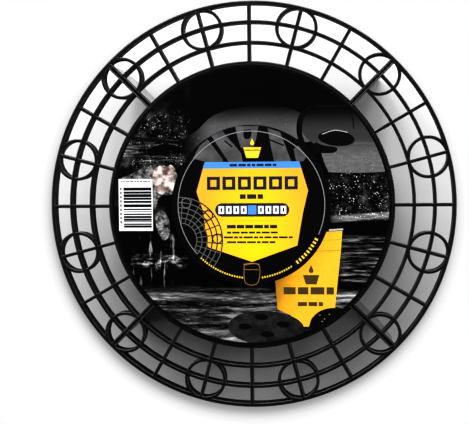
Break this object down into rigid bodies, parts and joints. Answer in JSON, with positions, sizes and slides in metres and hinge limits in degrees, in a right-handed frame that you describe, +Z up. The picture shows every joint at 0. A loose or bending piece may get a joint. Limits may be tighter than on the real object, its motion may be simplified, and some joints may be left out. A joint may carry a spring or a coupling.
{
  "type": "wash bucket grit trap",
  "caption": "Round black grating on upright vanes that stands in a wash bucket to trap grit, with a round printed card on top.",
  "frame": {"origin": "on the standing plane, under the middle of the grating", "axes": "+Z up through the middle of the grating; the four vanes stand halfway between the X and Y axes; +Y is towards the top of the card's print"},
  "size_m": [0.26, 0.26, 0.0558],
  "materials": {
    "grid_plastic": "black moulded polypropylene, satin to glossy, rounded edges",
    "vane_plastic": "black moulded polypropylene, smooth satin faces",
    "printed_card": "printed board with a thin gloss varnish",
    "glue": "clear hot-melt glue"
  },
  "bodies": {
    "grating": {"grid": "grid_plastic"},
    "vane_1": {"vane_1": "vane_plastic"},
    "vane_2": {"vane_2": "vane_plastic"},
    "vane_3": {"vane_3": "vane_plastic"},
    "vane_4": {"vane_4": "vane_plastic"},
    "card": {"card": "printed_card", "glue_dots": "glue"}
  },
  "joints": [
    {"name": "vane_1_pull", "type": "slide", "parent": "grating", "child": "vane_1", "axis": [0, 0, -1], "range_m": [0, 0.012]},
    {"name": "vane_2_pull", "type": "slide", "parent": "grating", "child": "vane_2", "axis": [0, 0, -1], "range_m": [0, 0.012]},
    {"name": "vane_3_pull", "type": "slide", "parent": "grating", "child": "vane_3", "axis": [0, 0, -1], "range_m": [0, 0.012]},
    {"name": "vane_4_pull", "type": "slide", "parent": "grating", "child": "vane_4", "axis": [0, 0, -1], "range_m": [0, 0.012]},
    {"name": "card_peel", "type": "slide", "parent": "grating", "child": "card", "axis": [0, 0, 1], "range_m": [0, 0.02]}
  ]
}
